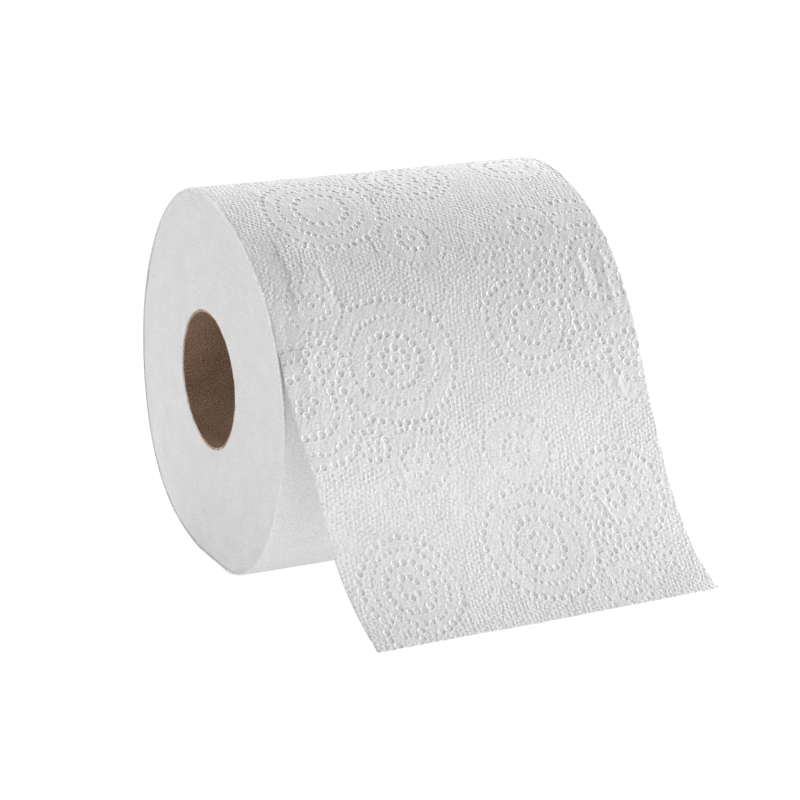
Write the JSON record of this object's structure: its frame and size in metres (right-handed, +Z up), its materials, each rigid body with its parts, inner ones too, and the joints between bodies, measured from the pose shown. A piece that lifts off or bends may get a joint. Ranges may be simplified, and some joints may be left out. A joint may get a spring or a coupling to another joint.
{
  "type": "toilet paper roll",
  "caption": "Soft roll of white embossed bathroom tissue lying on its side, its loose end draped down the front to the surface, wound on a plain brown cardboard core.",
  "frame": {"origin": "middle of the cardboard core's bore, on its axis and halfway along the roll", "axes": "+X along the core's axis, +Z up as the roll lies on its side, -Y the side where the loose sheet hangs down"},
  "size_m": [0.126, 0.1518, 0.1146],
  "materials": {
    "tissue_paper": "soft matt embossed tissue",
    "core_board": "matt unbleached kraft board"
  },
  "bodies": {
    "root": {"tissue": "tissue_paper", "core": "core_board"}
  },
  "joints": []
}
